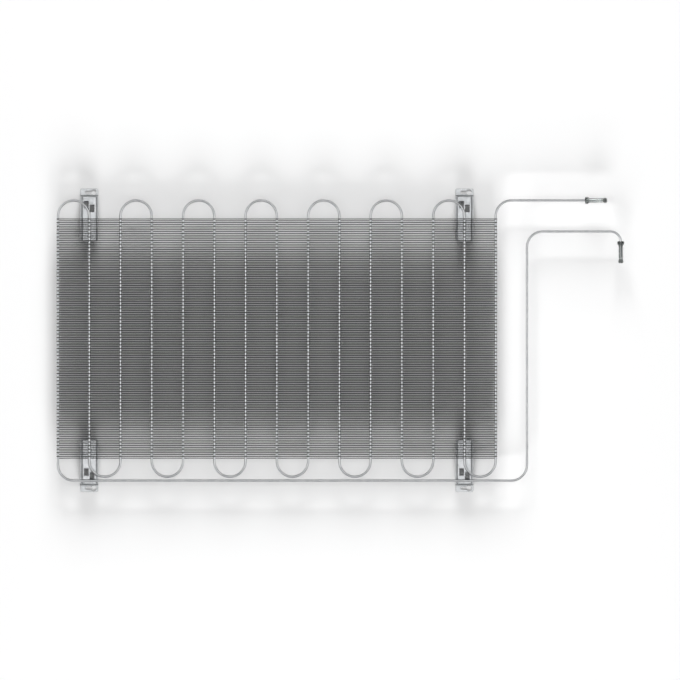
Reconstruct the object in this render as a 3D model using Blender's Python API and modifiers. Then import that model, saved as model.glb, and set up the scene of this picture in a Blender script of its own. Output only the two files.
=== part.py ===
"""Wire-on-tube condenser coil for the back of a refrigerator.

One steel tube is bent into a flat serpentine. Straight steel wires cross its runs on both faces as
fins. Four stamped sheet brackets carry the coil off the cabinet wall, and a soft cap seals each end
of the tube.

The coil lies flat on its bracket flanges: X runs along the fin wires, Y runs along the tube's
straight runs, and Z leads away from the wall that the flanges are screwed to. Sizes are in metres.
"""

import math
from collections import namedtuple

import bmesh
import bpy
from mathutils import Matrix

# Clearance that touching pieces keep
GAP = 0.0003

# Serpentine tube
TUBE_OD = 0.00476
TUBE_WALL = 0.0007
RUN_PAIRS = 7
RUN_PITCH = 0.060
RUN_LENGTH = 0.4703
TAIL_BEND_RADIUS = 0.030
TAIL_TO_BENDS = 0.0074
OUTLET_REACH = 0.2024
RISER_OFFSET = 0.060
INLET_DROP = 0.0596
HOOK_REACH = 0.180
HOOK_BEND_RADIUS = 0.020
HOOK_LEG = 0.0498
HALF_TURN_STEPS = 8

# Fin wires, as many in each layer as fit between the bends
WIRE_OD = 0.0016
WIRE_PITCH = 0.0069
WIRES_PER_NODE = 4
WIRE_OVERHANG = 0.0004
LEAST_WIRE_MARGIN = 0.0055
WIRE_SIDES = 6
WELD_WIDTH = 0.0020
WELD_HEIGHT = 0.00055
WELD_PROUD = 0.00005

# Stamped brackets
SHEET = 0.0012
STAND_OFF = 0.022
BRACKET_WIDTH = 0.0342
BRACKET_BEND = 0.0064
TOP_CHANNEL = 0.085
BOTTOM_CHANNEL = 0.0865
END_CORNER = 0.0029
TOP_BRACKET_RISE = 0.0084
BOTTOM_BRACKET_DROP = 0.0073
FOOT_RELIEF = 0.001
SIDE_DEPTH = 0.010
FLANGE_CORNER = 0.0025
WINDOW_MARGIN = 0.00085
WINDOW_BRIDGE = 0.0023
WINDOW_LENGTH = 0.0135
LUG_STAGGER = 0.0073
LUG_CORNER = 0.002

# Keyhole in each flange, and the metal left around its round head
KEYHOLE_SLOT = 0.0056
KEYHOLE_HEAD = 0.0105
KEYHOLE_LENGTH = 0.02135
KEYHOLE_TO_WALL = 0.00205
KEYHOLE_TO_EDGE = 0.00155
KEYHOLE_TO_SIDE = 0.00315

# Sealing caps, each a loose sleeve with a bead at its mouth and a swollen tip
CAP_COVER = 0.031
CAP_CAVITY = 0.005
CAP_END = 0.0061
CAP_WALL = 0.00152
CAP_BEAD = 0.0025
CAP_BEAD_LENGTH = 0.009
CAP_TIP = 0.0006
CAP_TIP_LENGTH = 0.007
CAP_NECK = 0.0004
CAP_SIDES = 12

RUN_COUNT = 2 * RUN_PAIRS + 1
TUBE_RADIUS = TUBE_OD / 2
WIRE_RADIUS = WIRE_OD / 2
U_BEND_RADIUS = RUN_PITCH / 2

# Places across the coil, from the first run's axis
LAST_RUN_X = (RUN_COUNT - 1) * RUN_PITCH
RISER_X = LAST_RUN_X + RISER_OFFSET
HOOK_X = RISER_X + HOOK_REACH
OUTLET_END_X = LAST_RUN_X + OUTLET_REACH
MIDDLE_X = LAST_RUN_X / 2
WIRE_LENGTH = LAST_RUN_X + TUBE_OD + 2 * WIRE_OVERHANG

# Places along the runs, from the bottom tail's axis
LOWER_BENDS_Y = TAIL_TO_BENDS + U_BEND_RADIUS
UPPER_BENDS_Y = LOWER_BENDS_Y + RUN_LENGTH
OUTLET_Y = UPPER_BENDS_Y + U_BEND_RADIUS
INLET_Y = OUTLET_Y - INLET_DROP
HOOK_END_Y = INLET_Y - HOOK_LEG
TOP_JUNCTION_Y = OUTLET_Y + TOP_BRACKET_RISE
BOTTOM_JUNCTION_Y = -BOTTOM_BRACKET_DROP

# The rear wires lie half a pitch below the front ones, and the two layers are centred on the runs
LAYER_SHIFT = WIRE_PITCH / 2
WIRE_ROOM = RUN_LENGTH - 2 * LEAST_WIRE_MARGIN - LAYER_SHIFT
WIRES_PER_LAYER = int(WIRE_ROOM / WIRE_PITCH) + 1
WIRE_SPAN = (WIRES_PER_LAYER - 1) * WIRE_PITCH + LAYER_SHIFT
TOP_WIRE_Y = UPPER_BENDS_Y - (RUN_LENGTH - WIRE_SPAN) / 2

# Heights above the wall
REAR_WIRE_Z = STAND_OFF + GAP + WIRE_RADIUS
TUBE_Z = REAR_WIRE_Z + WIRE_RADIUS + GAP + TUBE_RADIUS
FRONT_WIRE_Z = TUBE_Z + TUBE_RADIUS + GAP + WIRE_RADIUS

# The flange holds its keyhole, and the two windows share the flat of the web
FLANGE_LENGTH = KEYHOLE_TO_WALL + KEYHOLE_HEAD + KEYHOLE_TO_EDGE
KEYHOLE_Y = -KEYHOLE_TO_WALL - KEYHOLE_HEAD / 2
WEB_FLAT = BRACKET_WIDTH - 2 * BRACKET_BEND
WINDOW_WIDTH = (WEB_FLAT - 2 * WINDOW_MARGIN - WINDOW_BRIDGE) / 2

# A lug is the metal of its window, bent up just clear of the bottom tail
LUG_SETBACK = BOTTOM_BRACKET_DROP + TUBE_RADIUS + GAP
LUG_HEIGHT = WINDOW_LENGTH - SHEET

# A cap slips over the tube
CAP_BORE = TUBE_RADIUS + GAP
CAP_BODY = CAP_BORE + CAP_WALL
CAP_LENGTH = CAP_COVER + CAP_CAVITY + CAP_END

# The model's origin is the middle of its outline, on the wall plane
LEFT_X = -TUBE_RADIUS - WIRE_OVERHANG
RIGHT_X = HOOK_X + CAP_BODY + CAP_BEAD
LOW_Y = BOTTOM_JUNCTION_Y - FLANGE_LENGTH
HIGH_Y = TOP_JUNCTION_Y + FLANGE_LENGTH
DATUM = (-(LEFT_X + RIGHT_X) / 2, -(LOW_Y + HIGH_Y) / 2, 0)

# How far a cutter runs past what it cuts, and how near counts as the same place
PAST = 0.002
TINY = 0.00001

# The collections that pieces go in, and the empty that they are placed from
Bench = namedtuple("Bench", "parts cutters datum")


def clear_scene():
    for old in list(bpy.data.objects):
        bpy.data.objects.remove(old, do_unlink=True)


def new_collection(name):
    made = bpy.data.collections.new(name)
    bpy.context.scene.collection.children.link(made)
    return made


def principled(name, colour, roughness, metallic, alpha=1.0):
    made = bpy.data.materials.new(name)
    made.use_nodes = True
    shader = made.node_tree.nodes["Principled BSDF"]
    shader.inputs["Base Color"].default_value = (*colour, 1.0)
    shader.inputs["Roughness"].default_value = roughness
    shader.inputs["Metallic"].default_value = metallic
    shader.inputs["Alpha"].default_value = alpha
    made.diffuse_color = (*colour, alpha)
    return made


def place(item, collection, parent, location=(0, 0, 0), turn=(0, 0, 0)):
    collection.objects.link(item)
    item.parent = parent
    item.location = location
    item.rotation_euler = turn
    return item


def as_guide(item):
    item.hide_render = True
    item.display_type = "WIRE"
    return item


def arc(centre, radius, start, end, steps):
    """Points on an arc, both ends included, with its angles in degrees from +X towards +Y."""
    angles = [math.radians(start + (end - start) * i / steps) for i in range(steps + 1)]
    return [(centre[0] + radius * math.cos(a), centre[1] + radius * math.sin(a)) for a in angles]


def poly_curve(name, points, closed):
    """A curve with one spline of straight stretches through points in XY."""
    drawn = bpy.data.curves.new(name, "CURVE")
    spline = drawn.splines.new("POLY")
    spline.points.add(len(points) - 1)
    for point, (x, y) in zip(spline.points, points):
        point.co = (x, y, 0, 1)
    spline.use_cyclic_u = closed
    return drawn


def evaluated_mesh(item):
    """A new mesh of what an item looks like with its modifiers carried out."""
    bpy.context.view_layer.update()
    graph = bpy.context.evaluated_depsgraph_get()
    return bpy.data.meshes.new_from_object(item.evaluated_get(graph))


def prism(name, outline, low, high):
    """A mesh object: a flat outline in XY, carried from low to high along Z."""
    drawn = poly_curve(name, outline, True)
    drawn.dimensions = "2D"
    drawn.fill_mode = "BOTH"
    drawn.extrude = (high - low) / 2
    holder = bpy.data.objects.new(name, drawn)
    bpy.context.scene.collection.objects.link(holder)
    mesh = evaluated_mesh(holder)
    bpy.data.objects.remove(holder, do_unlink=True)
    bpy.data.curves.remove(drawn)
    welded = bmesh.new()
    welded.from_mesh(mesh)
    bmesh.ops.remove_doubles(welded, verts=welded.verts, dist=TINY / 10)
    bmesh.ops.recalc_face_normals(welded, faces=welded.faces)
    bmesh.ops.translate(welded, vec=(0, 0, (low + high) / 2), verts=welded.verts)
    welded.to_mesh(mesh)
    welded.free()
    return bpy.data.objects.new(name, mesh)


def combine(target, operation, tool, bench):
    """Cuts a tool from its target, or joins it to it."""
    place(as_guide(tool), bench.cutters, target)
    modifier = target.modifiers.new(tool.name, "BOOLEAN")
    modifier.operation = operation
    modifier.solver = "EXACT"
    modifier.object = tool


def tube_route():
    """The tube's centre line, from its outlet through every run to its inlet."""
    quarter = HALF_TURN_STEPS // 2
    bend = TAIL_BEND_RADIUS
    hook = HOOK_BEND_RADIUS
    route = [(OUTLET_END_X, OUTLET_Y)]
    route += arc((LAST_RUN_X + U_BEND_RADIUS, UPPER_BENDS_Y), U_BEND_RADIUS, 90, 180, quarter)
    for index in range(RUN_COUNT - 1, 0, -1):
        at_bottom = index % 2 == 0
        centre = ((index - 0.5) * RUN_PITCH, LOWER_BENDS_Y if at_bottom else UPPER_BENDS_Y)
        route += arc(centre, U_BEND_RADIUS, 0, -180 if at_bottom else 180, HALF_TURN_STEPS)
    route += arc((bend, bend), bend, 180, 270, quarter)
    route += arc((RISER_X - bend, bend), bend, 270, 360, quarter)
    route += arc((RISER_X + bend, INLET_Y - bend), bend, 180, 90, quarter)
    route += arc((HOOK_X - hook, INLET_Y - hook), hook, 90, 0, quarter)
    route.append((HOOK_X, HOOK_END_Y))
    return route


def serpentine_tube(bench, steel):
    """A bevelled curve is the tube's outside, and Solidify gives it its wall and leaves the bore open."""
    drawn = poly_curve("serpentine_tube", tube_route(), False)
    drawn.dimensions = "3D"
    drawn.twist_mode = "Z_UP"
    drawn.fill_mode = "FULL"
    drawn.bevel_depth = TUBE_RADIUS
    drawn.bevel_resolution = 2
    drawn.materials.append(steel)
    tube = bpy.data.objects.new("serpentine_tube", drawn)
    place(tube, bench.parts, bench.datum, (0, 0, TUBE_Z))
    bore = tube.modifiers.new("bore", "SOLIDIFY")
    bore.thickness = TUBE_WALL
    bore.offset = -1
    bore.use_even_offset = True


def weld_line(name, count):
    """A bar under a group's wires, on the side where the tube runs."""
    half = ((count - 1) * WIRE_PITCH + WIRE_OD) / 2
    side = WELD_WIDTH / 2
    outline = [(-side, -half), (side, -half), (side, half), (-side, half)]
    low = -WIRE_RADIUS - WELD_PROUD
    return prism(name, outline, low, low + WELD_HEIGHT)


def wire_group_mesh(count, bench, lacquer):
    """Neighbouring wires as one mesh, held together by weld where they cross the middle run."""
    name = f"fin_wires_by_{count}"
    mesh = bpy.data.meshes.new(name)
    shape = bmesh.new()
    along_x = Matrix.Rotation(math.pi / 2, 4, "Y")
    for index in range(count):
        y = (index - (count - 1) / 2) * WIRE_PITCH
        bmesh.ops.create_cone(
            shape,
            cap_ends=True,
            segments=WIRE_SIDES,
            radius1=WIRE_RADIUS,
            radius2=WIRE_RADIUS,
            depth=WIRE_LENGTH,
            matrix=Matrix.Translation((0, y, 0)) @ along_x,
        )
    shape.to_mesh(mesh)
    shape.free()
    mesh.materials.append(lacquer)
    pattern = as_guide(bpy.data.objects.new(f"{name}_pattern", mesh))
    place(pattern, bench.cutters, bench.datum)
    combine(pattern, "UNION", weld_line(f"{name}_weld", count), bench)
    joined = evaluated_mesh(pattern)
    joined.shade_smooth()
    joined.set_sharp_from_angle(angle=math.radians(75))
    return joined


def fin_wires(bench, lacquer):
    """Both layers of wires, in nodes of a few neighbours, the rear layer turned weld side up."""
    meshes = {}
    layers = (("front", FRONT_WIRE_Z, 0, 0), ("rear", REAR_WIRE_Z, LAYER_SHIFT, math.pi))
    for layer, height, shift, turn in layers:
        for number, first in enumerate(range(0, WIRES_PER_LAYER, WIRES_PER_NODE), start=1):
            count = min(WIRES_PER_NODE, WIRES_PER_LAYER - first)
            if count not in meshes:
                meshes[count] = wire_group_mesh(count, bench, lacquer)
            y = TOP_WIRE_Y - shift - (first + (count - 1) / 2) * WIRE_PITCH
            group = bpy.data.objects.new(f"{layer}_fin_wires_{number:02d}", meshes[count])
            place(group, bench.parts, bench.datum, (MIDDLE_X, y, height), (turn, 0, 0))


def at(value, target):
    return abs(value - target) < TINY


def edges_where(shape, test):
    return [edge for edge in shape.edges if all(test(vert.co) for vert in edge.verts)]


def rounded(shape, geometry, radius, segments, affect):
    bmesh.ops.bevel(
        shape,
        geom=geometry,
        offset=radius,
        segments=segments,
        profile=0.5,
        affect=affect,
        clamp_overlap=False,
    )


def cut_faces(shape, faces, point, normal):
    geometry = {*faces}
    for face in faces:
        geometry.update(face.edges, face.verts)
    bmesh.ops.bisect_plane(shape, geom=list(geometry), plane_co=point, plane_no=normal)


def fold_out(shape, edges, shift, corner):
    """Extrudes edges into a tab and rounds its two free corners."""
    made = bmesh.ops.extrude_edge_only(shape, edges=edges)["geom"]
    ends = [item for item in made if isinstance(item, bmesh.types.BMVert)]
    bmesh.ops.translate(shape, vec=shift, verts=ends)
    rounded(shape, ends, corner, 3, "VERTICES")


def channel(length, closed):
    """An open-bottomed tray with an end wall at y = 0, and one at its inner end too if it is closed."""
    size = Matrix.Diagonal((BRACKET_WIDTH, length, STAND_OFF - SHEET, 1))
    middle = Matrix.Translation((0, length / 2, (STAND_OFF + SHEET) / 2))
    shape = bmesh.new()
    bmesh.ops.create_cube(shape, size=1, matrix=middle @ size)
    shape.normal_update()
    opened = [f for f in shape.faces if f.normal.z < -0.5 or (f.normal.y > 0.5 and not closed)]
    bmesh.ops.delete(shape, geom=opened, context="FACES")
    # The sides start above the foot of the end wall and rise to a shallow inner end
    relief = SHEET + FOOT_RELIEF
    cut_faces(shape, shape.faces[:], (0, 0, relief), (0, 0, 1))
    middles = [(face, face.calc_center_median()) for face in shape.faces]
    below = [face for face, middle in middles if middle.z < relief and middle.y > TINY]
    bmesh.ops.delete(shape, geom=below, context="FACES")
    for vert in shape.verts:
        if at(vert.co.y, length) and at(vert.co.z, relief):
            vert.co.z = STAND_OFF - SIDE_DEPTH
    return shape


def add_windows(shape):
    """Two windows side by side, one further in, each with its metal bent up as a lug."""

    def web():
        return [face for face in shape.faces if all(at(vert.co.z, STAND_OFF) for vert in face.verts)]

    near = WINDOW_BRIDGE / 2
    far = near + WINDOW_WIDTH
    windows = ((1, LUG_SETBACK), (-1, LUG_SETBACK + LUG_STAGGER))
    for x in (-far, -near, near, far):
        cut_faces(shape, web(), (x, 0, 0), (1, 0, 0))
    for _, low in windows:
        cut_faces(shape, web(), (0, low, 0), (0, 1, 0))
        cut_faces(shape, web(), (0, low + WINDOW_LENGTH, 0), (0, 1, 0))
    for side, low in windows:
        middles = [(face, face.calc_center_median()) for face in web()]
        hole = [
            face
            for face, middle in middles
            if near < side * middle.x < far and low < middle.y < low + WINDOW_LENGTH
        ]
        bmesh.ops.delete(shape, geom=hole, context="FACES")
        hinge = edges_where(
            shape, lambda co: at(co.y, low) and near - TINY < side * co.x < far + TINY
        )
        fold_out(shape, hinge, (0, 0, LUG_HEIGHT), LUG_CORNER)


def bracket_mesh(name, length, closed):
    """The outer skin of the stamping: its channel, its flange and its two lugs."""
    half = BRACKET_WIDTH / 2
    shape = channel(length, closed)
    foot = edges_where(shape, lambda co: at(co.y, 0) and at(co.z, SHEET))
    fold_out(shape, foot, (0, -FLANGE_LENGTH, 0), FLANGE_CORNER)
    left = edges_where(shape, lambda co: at(co.x, -half) and at(co.z, STAND_OFF))
    right = edges_where(shape, lambda co: at(co.x, half) and at(co.z, STAND_OFF))
    rounded(shape, left + right, BRACKET_BEND, 4, "EDGES")
    if closed:
        inner_end = edges_where(shape, lambda co: at(co.y, length))
        rim = [edge for edge in inner_end if len(edge.link_faces) == 2]
        rounded(shape, rim, END_CORNER, 2, "EDGES")
    add_windows(shape)
    mesh = bpy.data.meshes.new(name)
    shape.to_mesh(mesh)
    shape.free()
    mesh.shade_smooth()
    mesh.set_sharp_from_angle(angle=math.radians(35))
    return mesh


def keyhole_outline(side):
    """A slot that flares at 45 degrees into a round head, with the head on the given side."""
    slot = KEYHOLE_SLOT / 2
    head = KEYHOLE_HEAD / 2
    head_x = BRACKET_WIDTH / 2 - KEYHOLE_TO_SIDE - head
    slot_x = head_x + head - KEYHOLE_LENGTH + slot
    flare = math.sin(math.radians(45)) * head
    neck = head_x - flare - (flare - slot)
    outline = arc((slot_x, 0), slot, 90, 270, 6)
    outline.append((neck, -slot))
    outline += arc((head_x, 0), head, -135, 135, 8)
    outline.append((neck, slot))
    return [(side * x, KEYHOLE_Y + y) for x, y in outline]


def bracket(name, length, closed, head_side, spot, turn, bench, steel):
    """A stamped bracket, placed by the middle of the line where its flange meets its end wall."""
    mesh = bracket_mesh(name, length, closed)
    mesh.materials.append(steel)
    item = place(bpy.data.objects.new(name, mesh), bench.parts, bench.datum, spot, (0, 0, turn))
    sheet = item.modifiers.new("sheet", "SOLIDIFY")
    sheet.thickness = SHEET
    sheet.offset = -1
    sheet.use_even_offset = True
    keyhole = prism(f"{name}_keyhole", keyhole_outline(head_side), -PAST, SHEET + PAST)
    combine(item, "DIFFERENCE", keyhole, bench)


def brackets(bench, steel):
    """One at each end of the second run and of the last but one, with every keyhole's slot to the left."""
    for column, x in (("left", RUN_PITCH), ("right", LAST_RUN_X - RUN_PITCH)):
        low = (x, BOTTOM_JUNCTION_Y, 0)
        high = (x, TOP_JUNCTION_Y, 0)
        bracket(f"bracket_bottom_{column}", BOTTOM_CHANNEL, True, 1, low, 0, bench, steel)
        bracket(f"bracket_top_{column}", TOP_CHANNEL, False, -1, high, math.pi, bench, steel)


def cap_profile():
    """Half of the cap's section, from its tip down its outside to the mouth, then up its bore."""
    bead = CAP_BODY + CAP_BEAD
    tip = CAP_BODY + CAP_TIP
    tip_low = CAP_LENGTH - CAP_TIP_LENGTH
    neck_half = CAP_TIP_LENGTH / 7
    lip = CAP_BEAD_LENGTH / 4
    roof = CAP_COVER + CAP_CAVITY
    outline = [(tip * math.cos(a), CAP_LENGTH - tip * (1 - math.sin(a))) for a in quarter_angles(3)]
    outline += [
        (tip, tip_low + neck_half),
        (CAP_BODY - CAP_NECK, tip_low),
        (CAP_BODY, tip_low - neck_half),
        (CAP_BODY, CAP_BEAD_LENGTH),
        (bead, 2 * lip),
        (bead, lip),
        (bead - lip, 0),
        (CAP_BORE, 0),
        (CAP_BORE, roof - CAP_BORE),
    ]
    dome = quarter_angles(2, rising=True)
    outline += [(CAP_BORE * math.cos(a), roof - CAP_BORE * (1 - math.sin(a))) for a in dome]
    return outline


def quarter_angles(steps, rising=False):
    """Angles that divide a quarter turn, from its top down, or from its side up."""
    angles = [math.pi / 2 * (1 - step / steps) for step in range(steps)]
    return angles[::-1] if rising else angles


def end_cap(name, mouth, turn, bench, vinyl):
    """A cap turned about its own Z, with its origin at the middle of its mouth."""
    mesh = bpy.data.meshes.new(name)
    section = bmesh.new()
    corners = [section.verts.new((x, 0, z)) for x, z in cap_profile()]
    for first, second in zip(corners, corners[1:]):
        section.edges.new((first, second))
    section.to_mesh(mesh)
    section.free()
    mesh.materials.append(vinyl)
    cap = place(bpy.data.objects.new(name, mesh), bench.parts, bench.datum, mouth, turn)
    screw = cap.modifiers.new("turned", "SCREW")
    screw.steps = CAP_SIDES
    screw.render_steps = CAP_SIDES
    screw.use_merge_vertices = True
    screw.merge_threshold = TINY
    screw.use_smooth_shade = True


def end_caps(bench, vinyl):
    outlet = (OUTLET_END_X - CAP_COVER, OUTLET_Y, TUBE_Z)
    inlet = (HOOK_X, HOOK_END_Y + CAP_COVER, TUBE_Z)
    end_cap("end_cap_outlet", outlet, (0, math.pi / 2, 0), bench, vinyl)
    end_cap("end_cap_inlet", inlet, (math.pi / 2, 0, 0), bench, vinyl)


def main():
    clear_scene()
    parts = new_collection("condenser_coil")
    cutters = new_collection("condenser_coil_cutters")
    datum = place(bpy.data.objects.new("coil_datum", None), parts, None, DATUM)
    bench = Bench(parts, cutters, datum)
    serpentine_tube(bench, principled("zinc_plated_tube", (0.62, 0.63, 0.64), 0.35, 1.0))
    fin_wires(bench, principled("black_wire_lacquer", (0.02, 0.02, 0.022), 0.4, 0.0))
    brackets(bench, principled("zinc_plated_sheet", (0.66, 0.67, 0.68), 0.4, 1.0))
    end_caps(bench, principled("clear_vinyl", (0.8, 0.81, 0.8), 0.3, 0.0, 0.6))


main()
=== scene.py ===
"""The looks of a wire-on-tube condenser coil: its pieces, finishes, floor, lamps and camera."""

import math

import bmesh
import bpy
from mathutils import Matrix, Vector


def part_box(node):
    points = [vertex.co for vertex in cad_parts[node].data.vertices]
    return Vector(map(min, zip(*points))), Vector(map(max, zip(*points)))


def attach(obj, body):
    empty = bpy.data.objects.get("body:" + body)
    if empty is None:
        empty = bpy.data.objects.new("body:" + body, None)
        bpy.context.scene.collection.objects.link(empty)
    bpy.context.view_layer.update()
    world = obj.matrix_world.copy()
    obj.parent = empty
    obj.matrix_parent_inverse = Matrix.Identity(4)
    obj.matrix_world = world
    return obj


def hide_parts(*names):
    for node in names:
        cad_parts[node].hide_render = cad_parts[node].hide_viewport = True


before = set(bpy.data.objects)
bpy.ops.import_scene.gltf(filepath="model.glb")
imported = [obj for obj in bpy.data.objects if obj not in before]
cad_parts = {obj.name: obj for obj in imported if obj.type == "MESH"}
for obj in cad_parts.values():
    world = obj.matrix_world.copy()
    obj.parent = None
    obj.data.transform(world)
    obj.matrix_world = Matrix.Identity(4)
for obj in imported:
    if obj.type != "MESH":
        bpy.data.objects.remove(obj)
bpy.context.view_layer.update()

# All sizes below are in millimetres, and MM turns them into the scene's metres
MM = 0.001

# How near a point has to be to a place to count as there, and how near two points merge
REACH = 0.01
MERGE = 0.02
SHEET_MERGE = 0.1

# Edges that turn by less than these degrees are shaded as round, the wires' as the tube's
ROUND_TUBE = 40
ROUND_NUGGET = 80
ROUND_SHEET = 32
ROUND_CAP = 50

# The tube and how it is bent
TUBE_OD = 4.76
TUBE_WALL = 0.7
RUN_COUNT = 15
RUN_PITCH = 60
RUN_LENGTH = 470.3
TAIL_BEND_RADIUS = 30
TAIL_TO_BENDS = 7.4
OUTLET_REACH = 202.4
RISER_OFFSET = 60
INLET_DROP = 59.6
HOOK_REACH = 180
HOOK_BEND_RADIUS = 20
HOOK_LEG = 49.8
TUBE_SIDES = 24
DEGREES_PER_RING = 6

# The fin wires, whose length, number and places come from the frame
WIRE_OD = 1.6
WIRE_PITCH = 6.9
WIRE_TO_TUBE = 0.3
WIRE_SIDES = 12
WIRE_END_BEVEL = 0.25
WIRE_END_STEPS = 1

# A weld nugget where a wire crosses a run, which shows a little past both
NUGGET_SIDES = 8
NUGGET_RINGS = 5
NUGGET_HALF_LENGTH = 1.5
NUGGET_HALF_WIDTH = 1.2
NUGGET_HALF_HEIGHT = 0.8

# The stamped brackets
SHEET = 1.2
STAND_OFF = 22
FLANGE_LENGTH = 14.1
WEB_BEND = 6.4
FOOT_BEND = 1.8
WALL_BEND = 1.8
FOOT_RELIEF = 2
SIDE_DEPTH = 10
END_CORNER = 2.9
FLANGE_CORNER = 2.5
LUG_SETBACK = 9.98
LUG_STAGGER = 7.3
LUG_HEIGHT = 12.3
LUG_CORNER = 2
WINDOW_LENGTH = 13.5
WINDOW_BRIDGE = 2.3
WINDOW_MARGIN = 0.85

# The sheet's cut edges, eased where they turn by more than these degrees
SHEARED_EDGE = 0.2
SHEARED_STEPS = 2
SHEARED_TURN = 50

# The number of flats in each bend and corner of the brackets
WEB_STEPS = 8
FOOT_STEPS = 4
WALL_STEPS = 4
END_STEPS = 5
FLANGE_STEPS = 5
LUG_STEPS = 4

# The keyholes, from the flange's middle and from the foot of its wall
SLOT_WIDTH = 5.6
SLOT_END = 7.4
HEAD_DIAMETER = 10.5
HEAD_OFFSET = 8.7
KEYHOLE_INSET = 7.3
HEAD_SIDES = 32
SLOT_STEPS = 6

# The share of the slot's half width that rounds its end, so that its corners don't quite meet
SLOT_ROUNDING = 0.999

# The soft caps
CAP_CLEARANCE = 0.05
CAP_SIDES = 40
CAP_COVER = 31
CAP_CAVITY = 5
CAP_LENGTH = 42.1
CAP_BODY = 4.2
CAP_BEAD = 6.7
CAP_BEAD_LENGTH = 9
CAP_NECK = 3.8
CAP_TIP = 4.8
CAP_TIP_LENGTH = 7

# The rings of the round end of a cap's bore, as angles in radians from its widest ring
DOME_ANGLES = (0, 0.4, 0.8, 1.2, 1.45)

# The picture: its scale, its width, and the place on the coil that its middle shows
MM_PER_PIXEL = 1.9188
PICTURE_PIXELS = 680
PICTURE_MIDDLE = (-0.76, 0.4)
CAMERA_HEIGHT = 1500

# The floor, whose side is in metres, lies just under the flanges
FLOOR_SIDE = 30
FLOOR_DROP = 0.05


def start_piece(name):
    """Names a new primitive, puts its place into its mesh and opens it with nothing selected."""
    piece = bpy.context.object
    piece.name = name
    piece.data.name = name
    bpy.ops.object.select_all(action="DESELECT")
    piece.select_set(True)
    bpy.ops.object.transform_apply(location=True, rotation=True, scale=True)
    bpy.ops.object.mode_set(mode="EDIT")
    bpy.ops.mesh.select_all(action="DESELECT")
    return piece


def pick(kind, test):
    """Selects the open mesh's faces, edges or verts that pass a test, and nothing else."""
    bpy.context.tool_settings.mesh_select_mode = (kind == "verts", kind == "edges", kind == "faces")
    mesh = bpy.context.object.data
    shape = bmesh.from_edit_mesh(mesh)
    for group in (shape.verts, shape.edges, shape.faces):
        for item in group:
            item.select = False
    for item in getattr(shape, kind):
        if test(item):
            item.select_set(True)
    shape.select_flush_mode()
    bmesh.update_edit_mesh(mesh)


def middle_of(item):
    """The middle of a face, an edge or a vertex, in millimetres."""
    corners = [item.co] if isinstance(item, bmesh.types.BMVert) else [v.co for v in item.verts]
    return sum(corners, Vector()) / (len(corners) * MM)


def near(value, target):
    return abs(value - target) < REACH


def extrude(*shift):
    move = {"value": [value * MM for value in shift]}
    bpy.ops.mesh.extrude_region_move(TRANSFORM_OT_translate=move)


def round_off(size, steps, kind="EDGES"):
    bpy.ops.mesh.bevel(offset=size * MM, segments=steps, affect=kind)


def finish_edit():
    """Merges doubles, turns the faces outwards and closes the open mesh."""
    bpy.ops.mesh.select_all(action="SELECT")
    bpy.ops.mesh.remove_doubles(threshold=MERGE * MM)
    bpy.ops.mesh.normals_make_consistent(inside=False)
    bpy.ops.mesh.select_all(action="DESELECT")
    bpy.ops.object.mode_set(mode="OBJECT")


def apply_modifier(piece, kind, **settings):
    bpy.context.view_layer.objects.active = piece
    made = piece.modifiers.new(kind, kind)
    for name, value in settings.items():
        setattr(made, name, value)
    bpy.ops.object.modifier_apply(modifier=made.name)


def smooth(piece, degrees):
    bpy.ops.object.select_all(action="DESELECT")
    piece.select_set(True)
    bpy.context.view_layer.objects.active = piece
    bpy.ops.object.shade_smooth_by_angle(angle=math.radians(degrees))


def copy_of(piece, name, place):
    """A copy with its own mesh, moved by a matrix that goes into the mesh."""
    made = piece.copy()
    made.data = piece.data.copy()
    made.name = name
    made.data.name = name
    bpy.context.collection.objects.link(made)
    made.data.transform(place)
    return made


def join(pieces, name):
    bpy.ops.object.select_all(action="DESELECT")
    for piece in pieces:
        piece.select_set(True)
    bpy.context.view_layer.objects.active = pieces[0]
    bpy.ops.object.join()
    pieces[0].name = name
    return pieces[0]


def shift_by(x, y, z):
    return Matrix.Translation((x * MM, y * MM, z * MM))


def hand_over(piece, node):
    """Hangs a finished piece under the root body and hides the CAD node that it stands for."""
    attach(piece, "root")
    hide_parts(node)


def linear(hex_colour):
    """An sRGB hex colour as the linear RGBA that Blender's nodes take."""
    shares = [int(hex_colour[i : i + 2], 16) / 255 for i in (1, 3, 5)]
    return (*(s / 12.92 if s <= 0.04045 else ((s + 0.055) / 1.055) ** 2.4 for s in shares), 1.0)


def add_node(tree, kind, inputs=None, **settings):
    """Adds a node with its settings. An input is a plain value or the socket that feeds it."""
    made = tree.nodes.new(kind)
    for name, value in settings.items():
        setattr(made, name, value)
    for name, value in (inputs or {}).items():
        if isinstance(value, bpy.types.NodeSocket):
            tree.links.new(value, made.inputs[name])
        else:
            made.inputs[name].default_value = value
    return made


def new_material(name):
    """A material with its node tree and its shader."""
    made = bpy.data.materials.new(name)
    made.use_nodes = True
    return made, made.node_tree, made.node_tree.nodes["Principled BSDF"]


def per_mm(size):
    """A noise scale whose features are about this many millimetres across."""
    return 1 / (size * MM)


def noise(tree, where, size, detail):
    """Noise whose features are about a size in millimetres across."""
    sockets = {"Vector": where, "Scale": per_mm(size), "Detail": detail}
    return add_node(tree, "ShaderNodeTexNoise", sockets).outputs["Fac"]


def mottled(tree, where, size, dark, light):
    """A colour that drifts between two hex colours in patches of a size in millimetres."""
    tones = add_node(tree, "ShaderNodeValToRGB", {"Fac": noise(tree, where, size, 3.0)})
    tones.color_ramp.elements[0].position = 0.35
    tones.color_ramp.elements[0].color = linear(dark)
    tones.color_ramp.elements[1].position = 0.65
    tones.color_ramp.elements[1].color = linear(light)
    return tones.outputs["Color"]


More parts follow.
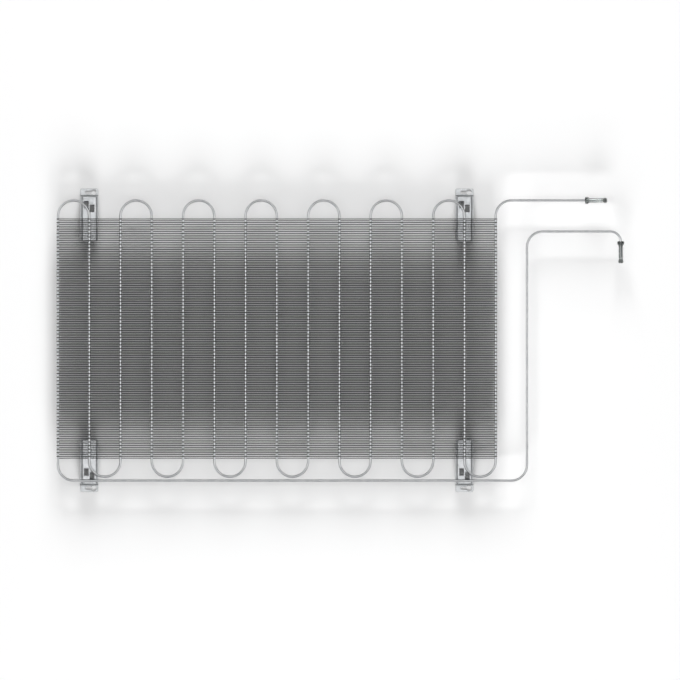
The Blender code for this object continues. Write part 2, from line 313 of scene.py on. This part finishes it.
def spread(tree, where, size, low, high):
    """A number that drifts between two values in patches of a size in millimetres."""
    sockets = {
        "Value": noise(tree, where, size, 2.0),
        "From Min": 0.3,
        "From Max": 0.7,
        "To Min": low,
        "To Max": high,
    }
    return add_node(tree, "ShaderNodeMapRange", sockets).outputs["Result"]


def bumps(tree, height, depth, strength):
    """A normal that follows a height, whose full range is a depth in millimetres."""
    sockets = {"Height": height, "Distance": depth * MM, "Strength": strength}
    return add_node(tree, "ShaderNodeBump", sockets).outputs["Normal"]


def zinc_plated_tube():
    """Drawn steel tube, bright zinc plated: a pale, faintly clouded metal with a soft gloss."""
    made, tree, shader = new_material("zinc_plated_drawn_tube")
    where = add_node(tree, "ShaderNodeTexCoord").outputs["Object"]
    shader.inputs["Metallic"].default_value = 1.0
    tree.links.new(mottled(tree, where, 14, "#e2e4e6", "#eff0f1"), shader.inputs["Base Color"])
    tree.links.new(spread(tree, where, 9, 0.28, 0.36), shader.inputs["Roughness"])
    grain = noise(tree, where, 0.8, 2.0)
    tree.links.new(bumps(tree, grain, 0.006, 0.25), shader.inputs["Normal"])
    return made


def black_lacquer():
    """Steel wire, dipped and baked in black lacquer: near black, semi-matt and a little uneven."""
    made, tree, shader = new_material("black_baked_lacquer")
    where = add_node(tree, "ShaderNodeTexCoord").outputs["Object"]
    tree.links.new(mottled(tree, where, 20, "#0b0c0d", "#141517"), shader.inputs["Base Color"])
    tree.links.new(spread(tree, where, 3, 0.42, 0.58), shader.inputs["Roughness"])
    shader.inputs["IOR"].default_value = 1.5
    peel = noise(tree, where, 0.9, 1.0)
    tree.links.new(bumps(tree, peel, 0.03, 0.3), shader.inputs["Normal"])
    return made


def zinc_plated_sheet():
    """Cold rolled sheet, zinc plated: a pale metal with rolling lines and soft clouds.

    The lines are drawn 1.2 mm apart. Real ones are a tenth of that, and wouldn't show.
    """
    made, tree, shader = new_material("zinc_plated_rolled_sheet")
    where = add_node(tree, "ShaderNodeTexCoord").outputs["Object"]
    stretched = {"Vector": where, "Scale": (per_mm(1.2), per_mm(60), per_mm(1.2))}
    along = add_node(tree, "ShaderNodeMapping", stretched).outputs["Vector"]
    lines = add_node(tree, "ShaderNodeTexNoise", {"Vector": along, "Scale": 1.0, "Detail": 2.0})
    shader.inputs["Metallic"].default_value = 1.0
    tree.links.new(mottled(tree, where, 9, "#cdd0d2", "#dcdee0"), shader.inputs["Base Color"])
    tree.links.new(spread(tree, where, 4, 0.3, 0.42), shader.inputs["Roughness"])
    tree.links.new(bumps(tree, lines.outputs["Fac"], 0.012, 0.3), shader.inputs["Normal"])
    return made


def sheared_steel():
    """The sheet's cut edge, where no zinc covers the steel: a darker, rougher grey metal."""
    made, tree, shader = new_material("sheared_steel_edge")
    where = add_node(tree, "ShaderNodeTexCoord").outputs["Object"]
    shader.inputs["Metallic"].default_value = 1.0
    tree.links.new(mottled(tree, where, 1.5, "#333436", "#48494b"), shader.inputs["Base Color"])
    tree.links.new(spread(tree, where, 1, 0.4, 0.6), shader.inputs["Roughness"])
    return made


def smoky_vinyl():
    """Dip moulded vinyl with a little grey in it.

    The tube's end shows inside, and the walls are dark where they are seen edge on.
    """
    made, tree, shader = new_material("smoky_dip_moulded_vinyl")
    where = add_node(tree, "ShaderNodeTexCoord").outputs["Object"]
    shader.inputs["Transmission Weight"].default_value = 1.0
    shader.inputs["IOR"].default_value = 1.53
    tree.links.new(mottled(tree, where, 6, "#f1f4f3", "#fafbfa"), shader.inputs["Base Color"])
    tree.links.new(spread(tree, where, 3, 0.06, 0.14), shader.inputs["Roughness"])
    tint = {"Color": linear("#8a8f8e"), "Density": 290.0}
    grey = add_node(tree, "ShaderNodeVolumeAbsorption", tint)
    tree.links.new(grey.outputs["Volume"], tree.nodes["Material Output"].inputs["Volume"])
    return made


def plain_floor():
    """A matt white floor: it stands for the drawing's paper and takes the coil's soft shadow."""
    made, tree, shader = new_material("matt_white_floor")
    shader.inputs["Base Color"].default_value = linear("#fafafa")
    shader.inputs["Roughness"].default_value = 0.9
    shader.inputs["Specular IOR Level"].default_value = 0.0
    return made


def bend_tube(material):
    """One ring, drawn along the straights and spun round the bends, from outlet to inlet."""
    wires_low, wires_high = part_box("front_fin_wires_01")
    cap_low, cap_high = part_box("end_cap_outlet")
    last_run = (wires_low.x + wires_high.x) / 2 / MM + (RUN_COUNT - 1) / 2 * RUN_PITCH
    height = (cap_low.z + cap_high.z) / 2 / MM
    outlet = Vector((last_run + OUTLET_REACH, (cap_low.y + cap_high.y) / 2 / MM, height))
    u_bend = RUN_PITCH / 2
    tail = TAIL_BEND_RADIUS
    hook = HOOK_BEND_RADIUS
    bpy.ops.mesh.primitive_circle_add(
        vertices=TUBE_SIDES,
        radius=TUBE_OD / 2 * MM,
        location=outlet * MM,
        rotation=(0, math.pi / 2, 0),
    )
    tube = start_piece("bent_tube")
    bpy.ops.mesh.select_all(action="SELECT")
    here = outlet
    heading = Vector((-1, 0, 0))

    def straight(length):
        nonlocal here
        extrude(*(heading * length))
        here = here + heading * length

    def turn(degrees, radius):
        """Bends to the left for a positive angle, and to the right for a negative one."""
        nonlocal here, heading
        side = Matrix.Rotation(math.copysign(math.pi / 2, degrees), 3, "Z")
        centre = here + side @ heading * radius
        swing = Matrix.Rotation(math.radians(degrees), 3, "Z")
        bpy.ops.mesh.spin(
            steps=round(abs(degrees) / DEGREES_PER_RING),
            angle=math.radians(-degrees),
            center=centre * MM,
            axis=(0, 0, 1),
        )
        here = centre + swing @ (here - centre)
        heading = swing @ heading

    straight(OUTLET_REACH - u_bend)
    turn(90, u_bend)
    for index in range(RUN_COUNT - 1, 0, -1):
        straight(RUN_LENGTH)
        turn(-180 if index % 2 == 0 else 180, u_bend)
    straight(RUN_LENGTH + TAIL_TO_BENDS + u_bend - tail)
    turn(90, tail)
    straight((RUN_COUNT - 1) * RUN_PITCH + RISER_OFFSET - 2 * tail)
    turn(90, tail)
    straight(TAIL_TO_BENDS + 2 * u_bend + RUN_LENGTH - INLET_DROP - 2 * tail)
    turn(-90, tail)
    straight(HOOK_REACH - tail - hook)
    turn(-90, hook)
    straight(HOOK_LEG - hook)
    finish_edit()
    apply_modifier(tube, "SOLIDIFY", thickness=TUBE_WALL * MM, offset=-1, use_even_offset=True)
    smooth(tube, ROUND_TUBE)
    tube.data.materials.append(material)
    hand_over(tube, "serpentine_tube")


def draw_wire(length):
    """One wire along X with its cut ends eased, its middle at the origin."""
    bpy.ops.mesh.primitive_cylinder_add(
        vertices=WIRE_SIDES,
        radius=WIRE_OD / 2 * MM,
        depth=length * MM,
        rotation=(0, math.pi / 2, 0),
    )
    wire = start_piece("wire")
    pick("edges", lambda edge: near(abs(middle_of(edge).x), length / 2))
    round_off(WIRE_END_BEVEL, WIRE_END_STEPS)
    finish_edit()
    smooth(wire, ROUND_TUBE)
    return wire


def draw_nugget():
    """One weld nugget, a flattened bead that is wider along the wire."""
    bpy.ops.mesh.primitive_uv_sphere_add(
        segments=NUGGET_SIDES,
        ring_count=NUGGET_RINGS,
        radius=MM,
        scale=(NUGGET_HALF_LENGTH, NUGGET_HALF_WIDTH, NUGGET_HALF_HEIGHT),
    )
    nugget = start_piece("nugget")
    finish_edit()
    smooth(nugget, ROUND_NUGGET)
    return nugget


def lay_wires(material):
    """Every wire with its welds, in one piece for each CAD node. The rear ones are turned over."""
    low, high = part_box("front_fin_wires_01")
    tube_low, tube_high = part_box("serpentine_tube")
    tube_z = (tube_low.z + tube_high.z) / 2 / MM
    lift = (TUBE_OD + WIRE_OD) / 2 + WIRE_TO_TUBE
    wire = draw_wire((high.x - low.x) / MM)
    nugget = draw_nugget()
    seat = -(WIRE_OD + WIRE_TO_TUBE) / 2
    middle_run = (RUN_COUNT - 1) / 2
    welds = [
        copy_of(nugget, "weld", shift_by((run - middle_run) * RUN_PITCH, 0, seat))
        for run in range(RUN_COUNT)
    ]
    welded = join([wire, *welds], "welded_wire")
    bpy.data.objects.remove(nugget)
    turned_over = Matrix.Rotation(math.pi, 4, "X")
    for node in sorted(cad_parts):
        layer, _, number = node.partition("_fin_wires_")
        if not number:
            continue
        low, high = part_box(node)
        count = round(((high.y - low.y) / MM - WIRE_OD) / WIRE_PITCH) + 1
        z = tube_z + (lift if layer == "front" else -lift)
        x = (low.x + high.x) / 2 / MM
        turn = Matrix.Identity(4) if layer == "front" else turned_over
        wires = []
        for index in range(count):
            y = high.y / MM - WIRE_OD / 2 - index * WIRE_PITCH
            wires.append(copy_of(welded, "wire", shift_by(x, y, z) @ turn))
        group = join(wires, f"{layer}_wires_{number}")
        group.data.materials.append(material)
        hand_over(group, node)
    bpy.data.objects.remove(welded)


def keyhole_cutter(side, name):
    """The keyhole as a block: a round head that narrows at 45 degrees into a slot."""
    head = HEAD_DIAMETER / 2
    slot = SLOT_WIDTH / 2
    flare = head * math.sin(math.radians(45))
    neck = 2 * flare - slot
    head_x = side * HEAD_OFFSET
    bpy.ops.mesh.primitive_circle_add(
        vertices=HEAD_SIDES,
        radius=head * MM,
        fill_type="NGON",
        location=(head_x * MM, -KEYHOLE_INSET * MM, -SHEET * MM),
    )
    cutter = start_piece(name)
    pick("verts", lambda v: side * (head_x - middle_of(v).x) > flare + REACH)
    bpy.ops.mesh.dissolve_verts()
    # The edge that closes the cut circle is drawn out twice: narrowing, then as the slot
    pick(
        "edges",
        lambda e: near(side * (head_x - middle_of(e).x), flare)
        and e.calc_length() > flare * MM,
    )
    extrude(-side * (flare - slot), 0, 0)
    middle = ((head_x - side * neck) * MM, -KEYHOLE_INSET * MM, -SHEET * MM)
    bpy.ops.transform.resize(value=(1, slot / flare, 1), center_override=middle)
    extrude(-side * (SLOT_END + HEAD_OFFSET - neck), 0, 0)
    pick("verts", lambda v: near(side * middle_of(v).x, -SLOT_END))
    round_off(slot * SLOT_ROUNDING, SLOT_STEPS, "VERTICES")
    bpy.ops.mesh.select_all(action="SELECT")
    extrude(0, 0, 3 * SHEET)
    finish_edit()
    return cutter


def on_web(item):
    """Whether an edge or a face lies in the plane that carries the tube."""
    return all(near(vert.co.z / MM, STAND_OFF) for vert in item.verts)


def joins_two(edge):
    return len(edge.link_faces) == 2


def open_block(name, width, length, closed):
    """A block without its floor, its far end where that is open, and the foot of its sides."""
    relief = SHEET + FOOT_RELIEF
    bpy.ops.mesh.primitive_cube_add(
        size=MM,
        location=(0, length / 2 * MM, (STAND_OFF + SHEET) / 2 * MM),
        scale=(width, length, STAND_OFF - SHEET),
    )
    bracket = start_piece(name)
    pick("faces", lambda f: f.normal.z < -0.5 or (f.normal.y > 0.5 and not closed))
    bpy.ops.mesh.delete(type="FACE")
    bpy.ops.mesh.select_all(action="SELECT")
    bpy.ops.mesh.bisect(plane_co=(0, 0, relief * MM), plane_no=(0, 0, 1))
    pick("faces", lambda f: middle_of(f).z < relief and middle_of(f).y > REACH)
    bpy.ops.mesh.delete(type="FACE")
    # From the foot, the sides' lower edges rise to their depth at the far end
    pick("verts", lambda v: near(middle_of(v).y, length) and near(middle_of(v).z, relief))
    bpy.ops.transform.translate(value=(0, 0, (STAND_OFF - SIDE_DEPTH - relief) * MM))
    return bracket


def draw_flange():
    """Draws the foot of the wall out along the cabinet."""
    pick("edges", lambda e: near(middle_of(e).y, 0) and near(middle_of(e).z, SHEET))
    extrude(0, -FLANGE_LENGTH, 0)
    pick("verts", lambda v: near(middle_of(v).y, -FLANGE_LENGTH))
    round_off(FLANGE_CORNER, FLANGE_STEPS, "VERTICES")


def round_bends(half, length, closed):
    """The foot's bend, both long ones, the wall's, and the far end's where it is closed."""
    pick(
        "edges",
        lambda e: joins_two(e) and near(middle_of(e).y, 0) and near(middle_of(e).z, SHEET),
    )
    round_off(FOOT_BEND, FOOT_STEPS)
    for side in (-half, half):
        pick("edges", lambda e: on_web(e) and near(middle_of(e).x, side))
        round_off(WEB_BEND, WEB_STEPS)
    above = SHEET + FOOT_RELIEF + SHEET_MERGE
    pick(
        "edges",
        lambda e: joins_two(e) and near(middle_of(e).y, 0) and middle_of(e).z > above,
    )
    round_off(WALL_BEND, WALL_STEPS)
    if closed:
        pick(
            "edges",
            lambda e: joins_two(e) and all(near(v.co.y / MM, length) for v in e.verts),
        )
        round_off(END_CORNER, END_STEPS)


def raise_lugs(half):
    """Opens two windows in the web, each with its metal bent up as a lug."""
    inner = WINDOW_BRIDGE / 2
    outer = half - WEB_BEND - WINDOW_MARGIN
    windows = ((1, LUG_SETBACK), (-1, LUG_SETBACK + LUG_STAGGER))
    for x in (-outer, -inner, inner, outer):
        pick("faces", on_web)
        bpy.ops.mesh.bisect(plane_co=(x * MM, 0, 0), plane_no=(1, 0, 0))
    for _, near_end in windows:
        for y in (near_end, near_end + WINDOW_LENGTH):
            pick("faces", on_web)
            bpy.ops.mesh.bisect(plane_co=(0, y * MM, 0), plane_no=(0, 1, 0))
    for side, near_end in windows:
        far_end = near_end + WINDOW_LENGTH
        pick(
            "faces",
            lambda f: on_web(f)
            and inner < side * middle_of(f).x < outer
            and near_end < middle_of(f).y < far_end,
        )
        bpy.ops.mesh.delete(type="FACE")
        pick(
            "edges",
            lambda e: on_web(e)
            and all(
                near(v.co.y / MM, near_end)
                and inner - REACH < side * v.co.x / MM < outer + REACH
                for v in e.verts
            ),
        )
        extrude(0, 0, LUG_HEIGHT)
        tip = STAND_OFF + LUG_HEIGHT
        pick("verts", lambda v: near(middle_of(v).z, tip) and near(middle_of(v).y, near_end))
        round_off(LUG_CORNER, LUG_STEPS, "VERTICES")


def thicken(bracket, materials):
    """Closes the open sheet and gives it its thickness, with the second material on its rim."""
    bpy.ops.mesh.select_all(action="SELECT")
    bpy.ops.mesh.remove_doubles(threshold=SHEET_MERGE * MM)
    bpy.ops.object.mode_set(mode="OBJECT")
    for material in materials:
        bracket.data.materials.append(material)
    apply_modifier(
        bracket,
        "SOLIDIFY",
        thickness=SHEET * MM,
        offset=-1,
        use_even_offset=True,
        material_offset_rim=1,
    )


def pierce(bracket, cutter, materials):
    """Cuts the keyhole, with the second material on its walls."""
    for material in materials:
        cutter.data.materials.append(material)
    for face in cutter.data.polygons:
        face.material_index = 1
    apply_modifier(bracket, "BOOLEAN", operation="DIFFERENCE", solver="EXACT", object=cutter)
    bpy.data.objects.remove(cutter)


def stamp_bracket(node, at_bottom, materials):
    """A bracket from a block. It is made as a bottom one, and a top one is turned end for end.

    A bottom one has a closed far end. Every keyhole has its slot to the left once in place.
    """
    low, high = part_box(node)
    width = (high.x - low.x) / MM
    length = (high.y - low.y) / MM - FLANGE_LENGTH
    bracket = open_block(node + "_stamping", width, length, at_bottom)
    draw_flange()
    round_bends(width / 2, length, at_bottom)
    raise_lugs(width / 2)
    thicken(bracket, materials)
    pierce(bracket, keyhole_cutter(1 if at_bottom else -1, node + "_keyhole"), materials)
    apply_modifier(
        bracket,
        "BEVEL",
        width=SHEARED_EDGE * MM,
        segments=SHEARED_STEPS,
        use_clamp_overlap=False,
        material=1,
        limit_method="ANGLE",
        angle_limit=math.radians(SHEARED_TURN),
    )
    foot_y = (low.y / MM + FLANGE_LENGTH) if at_bottom else (high.y / MM - FLANGE_LENGTH)
    turn = Matrix.Identity(4) if at_bottom else Matrix.Rotation(math.pi, 4, "Z")
    bracket.data.transform(shift_by((low.x + high.x) / 2 / MM, foot_y, 0) @ turn)
    smooth(bracket, ROUND_SHEET)
    # Without this the flat faces, whose edges are rounded, are shaded as if they were bowed
    apply_modifier(bracket, "WEIGHTED_NORMAL", keep_sharp=True)
    hand_over(bracket, node)


def stamp_brackets(materials):
    for column in ("left", "right"):
        stamp_bracket(f"bracket_bottom_{column}", True, materials)
        stamp_bracket(f"bracket_top_{column}", False, materials)


def cap_profile(bore, bore_end):
    """A cap's outline as radii and places along it, from inside the bore round to the tip."""
    bead, body, tip = CAP_BEAD, CAP_BODY, CAP_TIP
    end = CAP_LENGTH
    tip_start = end - CAP_TIP_LENGTH
    lip = [(bore, bore_end), (bore, 0.6), (bore + 0.3, 0.15), (bore + 0.8, 0)]
    bead_rise = [(bead - 1.4, 0), (bead - 0.5, 0.4), (bead - 0.1, 1.2), (bead, 2.2)]
    bead_fall = [(bead, 4.2), (bead - 0.3, 5.4), (body + 1.2, 6.9), (body + 0.3, 8.1)]
    sleeve = [(body, CAP_BEAD_LENGTH), (body, tip_start - 1.2), (body - 0.1, tip_start - 0.6)]
    neck = [(CAP_NECK, tip_start), (body, tip_start + 0.5), (tip - 0.1, tip_start + 0.9)]
    tip_side = [(tip, tip_start + 1.5), (tip, end - 2.4), (tip - 0.4, end - 1.1)]
    tip_end = [(tip - 1.3, end - 0.3), (tip - 2.6, end)]
    return lip + bead_rise + bead_fall + sleeve + neck + tip_side + tip_end


def draw_out(rings):
    """Draws the selected ring out along Z, resized at each place, and closes it to a point."""
    radius, along = rings[0]
    for next_radius, next_along in rings[1:]:
        extrude(0, 0, next_along - along)
        share = next_radius / radius
        centre = (0, 0, next_along * MM)
        bpy.ops.transform.resize(value=(share, share, 1), center_override=centre)
        radius, along = next_radius, next_along
    extrude(0, 0, 0)
    bpy.ops.mesh.merge(type="CENTER")


def mould_cap(name, node, mouth, direction, material):
    """A sleeve from one ring, drawn out of the bore and round to the tip, then into the bore."""
    bore = TUBE_OD / 2 + CAP_CLEARANCE
    bore_end = CAP_COVER + CAP_CAVITY - bore
    bpy.ops.mesh.primitive_circle_add(
        vertices=CAP_SIDES,
        radius=bore * MM,
        location=(0, 0, bore_end * MM),
    )
    cap = start_piece(name)
    bpy.ops.mesh.select_all(action="SELECT")
    draw_out(cap_profile(bore, bore_end))
    pick("verts", lambda v: near(middle_of(v).z, bore_end) and near(middle_of(v).xy.length, bore))
    draw_out([(bore * math.cos(a), bore_end + bore * math.sin(a)) for a in DOME_ANGLES])
    finish_edit()
    turn = Vector((0, 0, 1)).rotation_difference(Vector(direction)).to_matrix().to_4x4()
    cap.data.transform(shift_by(*mouth) @ turn)
    smooth(cap, ROUND_CAP)
    cap.data.materials.append(material)
    hand_over(cap, node)


def mould_caps(material):
    """Each cap's mouth is at its node's end that faces the coil."""
    low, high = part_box("end_cap_outlet")
    middle = (low + high) / 2 / MM
    mouth = (low.x / MM, middle.y, middle.z)
    mould_cap("cap_outlet", "end_cap_outlet", mouth, (1, 0, 0), material)
    low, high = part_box("end_cap_inlet")
    middle = (low + high) / 2 / MM
    mouth = (middle.x, high.y / MM, middle.z)
    mould_cap("cap_inlet", "end_cap_inlet", mouth, (0, -1, 0), material)


def lay_floor():
    bpy.ops.mesh.primitive_plane_add(size=FLOOR_SIDE, location=(0, 0, -FLOOR_DROP * MM))
    floor = bpy.context.object
    floor.name = "floor"
    floor.data.materials.append(plain_floor())


def hang_lamp(name, place, width, height, power):
    """A soft rectangular lamp that faces the coil, in metres and watts."""
    light = bpy.data.lights.new(name, "AREA")
    light.shape = "RECTANGLE"
    light.size = width
    light.size_y = height
    light.energy = power
    lamp = bpy.data.objects.new(name, light)
    lamp.location = place
    lamp.rotation_euler = (-Vector(place)).to_track_quat("-Z", "Y").to_euler()
    lamp.visible_camera = False
    bpy.context.collection.objects.link(lamp)
    return lamp


def light_studio():
    """A lamp overhead, one low on each long side, and a world that is dim at the horizon.

    The low lamps meet the wires side on, so little of their light gets down between the fins.
    Below the horizon the world is white, as the floor is, for views that look past the floor.
    """
    hang_lamp("overhead", (0, 0, 2.2), width=3.2, height=1.0, power=13.2)
    for name, side in (("low_lamp_above", 1), ("low_lamp_below", -1)):
        lamp = hang_lamp(name, (0, side * 6.0, 2.0), width=3.0, height=2.0, power=450)
        lamp.visible_glossy = False
    world = bpy.data.worlds.new("studio")
    world.use_nodes = True
    bpy.context.scene.world = world
    tree = world.node_tree
    up = add_node(tree, "ShaderNodeTexCoord").outputs["Generated"]
    height = add_node(tree, "ShaderNodeSeparateXYZ", {"Vector": up}).outputs["Z"]
    tones = add_node(tree, "ShaderNodeValToRGB", {"Fac": height})
    tones.color_ramp.elements[0].color = linear("#ffffff")
    tones.color_ramp.elements[1].color = linear("#848484")
    tones.color_ramp.elements.new(0.001).color = linear("#4d4e4f")
    tree.links.new(tones.outputs["Color"], tree.nodes["Background"].inputs["Color"])


def aim_camera():
    """Square above the coil, with the picture's scale and middle."""
    lens = bpy.data.cameras.new("camera")
    lens.type = "ORTHO"
    lens.ortho_scale = PICTURE_PIXELS * MM_PER_PIXEL * MM
    camera = bpy.data.objects.new("camera", lens)
    camera.location = (PICTURE_MIDDLE[0] * MM, PICTURE_MIDDLE[1] * MM, CAMERA_HEIGHT * MM)
    bpy.context.collection.objects.link(camera)
    bpy.context.scene.camera = camera


aim_camera()
light_studio()
lay_floor()
bend_tube(zinc_plated_tube())
lay_wires(black_lacquer())
stamp_brackets((zinc_plated_sheet(), sheared_steel()))
mould_caps(smoky_vinyl())
bpy.context.scene.view_settings.view_transform = "Standard"
